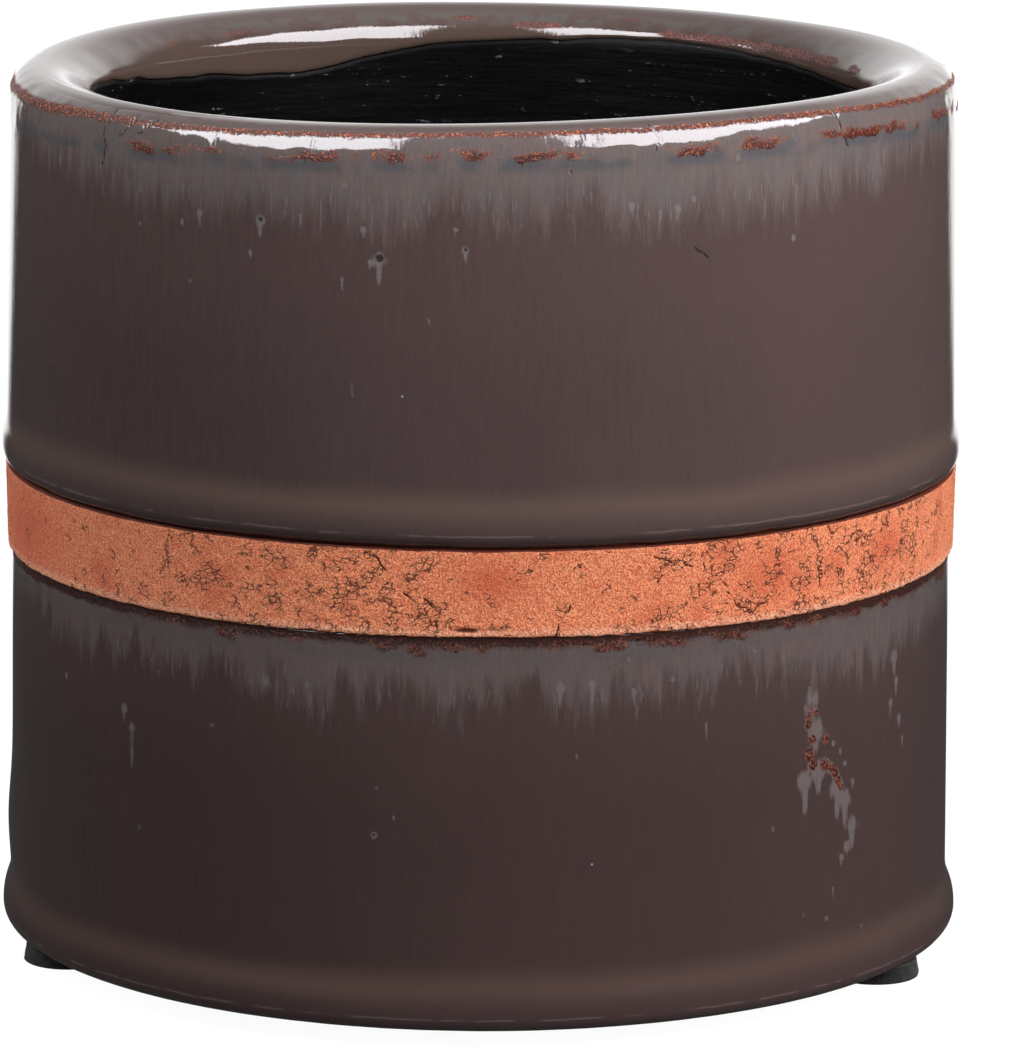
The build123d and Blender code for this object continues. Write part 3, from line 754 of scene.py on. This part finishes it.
def clayPaint(name):
    paint = Paint(name)
    where = paint.places()
    crackAndShade, lipMask, loose, red = (paint.mask(key) for key in ("crackAndShade", "lip", "loose", "red"))
    grit = paint.noise(where, 3.5, 2.0, 0.7)
    dust = paint.noise(where, 5.5, 2.0, 0.6)
    patches = paint.noise(where, 0.1, 3.0, 0.5)
    lumps = paint.noise(where, 0.7, 3.0, 0.6)
    shift = paint.node("ShaderNodeTexNoise", None, {"Vector": where, "Scale": 1.3, "Detail": 3.0}, "Color")
    bent = paint.node("ShaderNodeVectorMath", {"operation": "ADD"}, {0: where, 1: shift})
    cells = paint.cells(paint.stretched(bent, (0.85, 0.85, 1.25)), 1.0)
    broken = paint.noise(where, 0.45, 2.0, 0.5) + loose.about(0.3) + patches.about(0.2)
    broken = broken.ramp(0.5, 0.58)
    seams, creviceHighlight = 1.0 - cells.ramp(0.025, 0.1), 1.0 - cells.ramp(0.08, 0.22)
    colour = paint.mix(grit.ramp(0.37, 0.61), clayTone["base"], clayTone["pale"])
    colour = paint.mix((1.0 - dust.ramp(0.32, 0.5)) * 0.75, colour, clayTone["brown"])
    colour = paint.mix((red * 0.6).largest(patches.ramp(0.52, 0.7) * 0.4), colour, clayTone["red"])
    colour = paint.mix(lipMask * grit.ramp(0.4, 0.6) * 0.8, colour, clayTone["lip"])
    # painted highlight: pale rims along the crevices of the clay
    colour = paint.mix((creviceHighlight - seams) * broken * 0.5, colour, clayTone["pale"])
    # painted shade: dark flecks in the hollows of the grain
    hollowShade = (0.28 + loose * 0.04 + patches.about(0.1) - grit).ramp(0.0, 0.04)
    # dark: the cracks and crevices, with the painted shade of the ledge, the groove and the grain's hollows
    dark = (crackAndShade * 1.4).clear().ramp(0.3, 0.8).largest(seams * broken * 0.9).largest(hollowShade * 0.6)
    colour = paint.mix(dark * 0.9, colour, clayTone["dark"])
    height = grit * 0.7 + dust * 0.3 + lumps * 0.3 - dark * 0.9
    return paint.surface({
        "Base Color": colour, "Roughness": 0.85 + grit * 0.1, "Specular IOR Level": 0.2,
        "Normal": paint.bump(height, 0.4),
    })


clayMaterial = clayPaint("clayPaint")
place(turnedMesh("clayBand", outer, bandMasks), ["clay_body"], clayMaterial)

# the rest of the clay, under its coats
wellSlope = [(innerRadius(h, 0), h) for h in (floorLevel + wall["floorRound"], lipLevel)]
floorEdge = innerRadius(floorLevel, 0)
wellCorner = corner((floorEdge - wall["floorRound"], floorLevel), (floorEdge, floorLevel), wellSlope[0])
footLevel = clayBase + wall["footRound"]
bodyMesh = dict(columns=240, crowding=0.3, crestGap=0.12, rough=0.12)
bodyRun = joined(
    [(capRadius, floorLevel)], wellCorner, spread(wellSlope, 6.0), clayLip, clayShoulder,
    spread([(clayRadius, shoulderLevel), (clayRadius, footLevel)], 4.0),
    corner((clayRadius, footLevel), (clayRadius, clayBase), (footRadius, clayBase), 8),
    spread([(footRadius, clayBase), (capRadius, clayBase)], 3.0),
)
bodyTurns = turnsRound(bodyMesh)
spots = roundPot(bodyRun[:, :1], bodyTurns, bodyRun[:, 1:] + 0 * bodyTurns)
under = bodyRun[:, 1:] < clayBase + 0.1
bodyLift = rimLift(bodyTurns) * ramp(spots[..., 2], lipLevel - 2, crest)
spots[..., 2] += bodyLift - bodyMesh["crestGap"] * ramp(spots[..., 2], lipLevel, crest)
spots[..., 2] += np.where(under, np.abs(softNoise(spots, (3.0, 3.0, 3.0), 3.0)) * bodyMesh["rough"], 0.0)
plain = 0 * spots[..., 0]
grooveShade = plain + (bodyRun[:, :1] > clayRadius - 0.1)  # painted shade: dark where the groove above the band shows it
place(
    turnedMesh("clayBody", spots, dict(crackAndShade=grooveShade, lip=plain, loose=plain, red=plain), False, True, True),
    ["clay_body"], clayMaterial,
)

# black sealer inside
sealMesh = dict(columns=420, crowding=-0.4, wallRows=130, overlap=0.15, gap=0.02)
sealSkin = dict(ridge=0.1, stroke=0.05, dip=0.1)
sealTurns = turnsRound(sealMesh)
floorTop = floorLevel + coat["seal"]
sealEdge, roundTop = innerRadius(floorTop, coat["seal"]), floorTop + wall["floorRound"]
sealCorner = corner(
    (sealEdge - wall["floorRound"], floorTop), (sealEdge, floorTop),
    (innerRadius(roundTop, coat["seal"]), roundTop),
)
sealRun = joined(spread([(capRadius, floorTop), sealCorner[0]], 2.0), spread(sealCorner, 1.0))
floorPart = roundPot(sealRun[:, :1], sealTurns, sealRun[:, 1:])
sealEnd = glazeEnd(sealTurns[0]) + sealMesh["overlap"]
wallLow, wallSteps = sealCorner[-1][1], np.linspace(0, 1, sealMesh["wallRows"])[1:, None]
wallHeight = wallLow + (sealEnd - wallLow) * wallSteps
wallPart = roundPot(wellRadius(wallHeight, coat["seal"]), sealTurns, wallHeight)
ridges = softNoise(wallPart, (30.0, 30.0, 1.8), 3.0) * sealSkin["ridge"]
ridges += softNoise(wallPart, (9.0, 9.0, 0.9), 6.0) * sealSkin["stroke"]
wallPart[..., :2] *= 1 - (np.maximum(ridges, -sealSkin["dip"]) / innerRadius(wallHeight, 0))[..., None]
sealTop = roundPot(wellRadius(sealEnd, sealMesh["gap"]), sealTurns, sealEnd)
backLevels = (lipLevel - 8, floorLevel + wall["floorRound"])
backRun = np.array([(innerRadius(h, sealMesh["gap"]), h) for h in backLevels])
sealBack = roundPot(backRun[:, :1], sealTurns, backRun[:, 1:])
underRun = corner(wellSlope[0], (floorEdge, floorLevel), wellCorner[0], 6)[1:]
underRun = joined(underRun, [(capRadius, floorLevel)])
sealUnder = roundPot(underRun[:, :1], sealTurns, underRun[:, 1:])
sealLook = dict(low=tone(2, 2, 2), high=tone(5, 5, 6), dashGlint=tone(110, 110, 112))


def sealerPaint(name):
    paint = Paint(name)
    where = paint.places()
    strokes = paint.noise(paint.stretched(where, (0.12, 0.12, 1.4)), 1.0, 4.0, 0.6)
    dabs = paint.noise(where, 0.9, 3.0, 0.6)
    colour = paint.mix(strokes.ramp(0.35, 0.7), sealLook["low"], sealLook["high"])
    # painted highlights: pale horizontal dashes on the black sealer
    dashGlints = strokes.ramp(0.6, 0.67) * dabs.ramp(0.55, 0.62)
    colour = paint.mix(dashGlints * 0.7, colour, sealLook["dashGlint"])
    return paint.surface({
        "Base Color": colour, "Roughness": 0.4 + dabs * 0.25, "Specular IOR Level": 0.06,
        "Normal": paint.bump(strokes * 0.5 + dabs * 0.3, 0.2),
    })


sealGrid = np.concatenate([floorPart, wallPart, sealTop, sealBack, sealUnder])
place(
    turnedMesh("innerSealer", sealGrid, {}, False, True, True),
    ["inner_sealer"], sealerPaint("sealerPaint"),
)


# felt pads and their adhesive
sides = ("left", "right", "rear")
pad = dict(spread=0.4, round=0.5, cap=0.6, columns=120, crowding=0.0, fuzz=0.12, sway=0.15)
feltLook = dict(deep=tone(20, 18, 21), nap=tone(78, 73, 79), clump=tone(22, 20, 23))
glueLook = dict(dark=tone(62, 58, 54), pale=tone(92, 88, 82))


def feltPaint(name):
    paint = Paint(name)
    where = paint.places()
    fibres = paint.noise(paint.stretched(where, (2.0, 5.0, 3.0)), 1.0, 4.0, 0.7, 1.5)
    clumps = paint.noise(where, 0.7, 2.0, 0.5)
    colour = paint.mix(fibres.ramp(0.45, 0.8), feltLook["deep"], feltLook["nap"])
    colour = paint.mix(clumps.ramp(0.5, 0.7) * 0.6, colour, feltLook["clump"])
    return paint.surface({
        "Base Color": colour, "Roughness": 0.9 + clumps * 0.08, "Specular IOR Level": 0.15,
        "Sheen Weight": 0.15, "Normal": paint.bump(fibres + clumps * 0.5, 0.35),
    })


feltMaterial = feltPaint("feltPaint")
for side in sides:
    low, high = nodeBox(side + "_pad")
    middle = (low + high) / 2
    wide, thick = (high[0] - low[0]) / 2, high[2]
    padRun = joined(
        spread([(pad["cap"], 0.0), (wide - pad["round"], 0.0)], 0.6),
        spread(corner((wide - pad["round"], 0.0), (wide, 0.0), (wide, pad["round"])), 0.2),
        spread([(wide, pad["round"]), (wide - pad["spread"], thick)], 0.25),
        spread([(wide - pad["spread"], thick), (pad["cap"], thick)], 0.9),
    )
    padTurns = turnsRound(pad)
    spots = roundPot(padRun[:, :1], padTurns, padRun[:, 1:] + 0 * padTurns)
    edgeShare = ramp(padRun[:, :1], wide - 1.5, wide - 0.5) * ramp(thick - padRun[:, 1:], 0.0, 0.3)
    edgeShare = edgeShare * ramp(padRun[:, 1:], 0.0, 0.3)
    fuzz = softNoise(spots + middle, (0.8, 0.8, 0.8)) * pad["fuzz"]
    fuzz += softNoise(spots + middle, (4.0, 4.0, 6.0)) * pad["sway"]
    spots[..., :2] *= (1 + (fuzz - pad["sway"]) * edgeShare / wide)[..., None]
    spots[..., :2] += middle[:2]
    piece = turnedMesh(side + "Pad", spots[::-1], {}, False, True, True)
    place(piece, [side + "_pad"], feltMaterial)


def gluePaint(name):
    paint = Paint(name)
    where = paint.places()
    smears = paint.noise(where, 0.6, 3.0, 0.6)
    colour = paint.mix(smears.ramp(0.3, 0.7), glueLook["dark"], glueLook["pale"])
    return paint.surface({
        "Base Color": colour, "Roughness": 0.35 + smears * 0.25, "Normal": paint.bump(smears, 0.1),
    })


glueMaterial = gluePaint("gluePaint")
for side in sides:
    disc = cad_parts[side + "_glue"]
    disc.data.materials.clear()
    disc.data.materials.append(glueMaterial)

# stage
def raysOf(paint):  # rays that see the white ground itself, and mirrored ones
    kinds = [f"Is {kind} Ray" for kind in ("Camera", "Transmission", "Glossy")]
    camera, through, glossy = (paint.node("ShaderNodeLightPath", None, None, kind) for kind in kinds)
    return (camera + through).clear(), glossy


floorMesh = bpy.data.meshes.new("floor")
floorMesh.from_pydata([(-6, -6, 0), (6, -6, 0), (6, 6, 0), (-6, 6, 0)], [], [(0, 1, 2, 3)])
floorPiece = bpy.data.objects.new("floor", floorMesh)
bpy.context.scene.collection.objects.link(floorPiece)
floorPaint = Paint("floorPaint")
seen, glossy = raysOf(floorPaint)
floorSpot = floorPaint.node("ShaderNodeTexCoord", output="Object")
side, depth = (floorPaint.node("ShaderNodeSeparateXYZ", None, {0: floorSpot}, key) for key in "XY")
behind = (depth * 0.67 - side.size() - 0.05).ramp(-0.02, 0.06) * depth.ramp(0.02, 0.08) * 1.6 + 0.05
glow = seen * 1.6 + glossy * (1.0 - seen) * behind
plain = floorPaint.node("ShaderNodeBsdfDiffuse", None, {"Color": (0.3, 0.3, 0.3, 1.0)})
lit = floorPaint.node("ShaderNodeEmission", None, {"Color": (1.0, 1.0, 1.0, 1.0), "Strength": glow})
share = (seen * 0.6 + glossy).clear()
floorPaint.node("ShaderNodeOutputMaterial", None, {
    "Surface": floorPaint.node("ShaderNodeMixShader", None, {0: share, 1: plain, 2: lit}),
})
floorMesh.materials.append(floorPaint.owner)

world = bpy.data.worlds.new("studio")
bpy.context.scene.world = world
sky = Paint("studio", world)
seen, glossy = raysOf(sky)
skyWay = sky.node("ShaderNodeTexCoord", output="Generated")
skySide, skyDepth, skyRise = (sky.node("ShaderNodeSeparateXYZ", None, {0: skyWay}, key) for key in "XYZ")
glossy = glossy * (1.0 - seen)
rise = (1.0 - skyRise.ramp(0.2, 0.75)) * 0.9 + (1.0 - skyRise.ramp(0.02, 0.14)) * 0.45 + 0.3
backdrop = (skyDepth - skySide.size() * (2.0 - skyRise.ramp(0.05, 0.3))).ramp(-0.2, 0.3) * rise + 0.05
strength = seen + glossy * backdrop + (1.0 - (seen + glossy).clear()) * 0.3
sky.node("ShaderNodeOutputWorld", None, {
    "Surface": sky.node("ShaderNodeBackground", None, {"Color": (1.0, 1.0, 1.0, 1.0), "Strength": strength}),
})

potMiddle = Vector((0, 0, 0.065))
boxLamp = dict(size=(1.25, 1.95), power=92, colour=(0.97, 0.95, 1.0), diffuse=False, glossy=True)
softLamp = dict(size=(0.8, 0.8), colour=(1.0, 1.0, 1.0), diffuse=True, glossy=False)
lamps = (  # the boxes are only mirrored in the glaze, the other two only light it
    dict(boxLamp, name="rightBox", place=(1.02, -0.69, 1.13), turn=20),
    dict(boxLamp, name="leftBox", place=(-1.02, -0.69, 1.13), turn=-20),
    dict(softLamp, name="key", place=(0.95, -0.74, 0.65), power=18.5),
    dict(softLamp, name="fill", place=(-1.2, -0.3, 0.8), power=8),
)
for lamp in lamps:
    data = bpy.data.lights.new(lamp["name"], "AREA")
    data.shape, data.energy = "RECTANGLE", lamp["power"]
    data.size, data.size_y = lamp["size"]
    data.color = lamp["colour"]
    holder = bpy.data.objects.new(lamp["name"], data)
    holder.location = lamp["place"]
    if "turn" in lamp:  # hung level
        holder.rotation_euler = (0, 0, math.radians(lamp["turn"]))
    else:
        holder.rotation_euler = (potMiddle - Vector(lamp["place"])).to_track_quat("-Z", "Y").to_euler()
    holder.visible_diffuse, holder.visible_glossy = lamp["diffuse"], lamp["glossy"]
    bpy.context.scene.collection.objects.link(holder)

view = dict(place=(0.00385, -1.05, 0.2785), pitch=0.204, roll=0.0063, focal=7200, tall=1056, sensor=36.0)
camera = bpy.data.objects.new("camera", bpy.data.cameras.new("camera"))
camera.location = view["place"]
camera.rotation_mode = "XYZ"
camera.rotation_euler = (math.pi / 2 - view["pitch"], 0, 0)
camera.rotation_euler.rotate_axis("Z", view["roll"])
camera.data.sensor_fit = "VERTICAL"
camera.data.sensor_height = view["sensor"]
camera.data.lens = view["focal"] * view["sensor"] / view["tall"]
bpy.context.scene.collection.objects.link(camera)
bpy.context.scene.camera = camera
bpy.context.scene.view_settings.view_transform = "Standard"

bpy.context.view_layer.update()
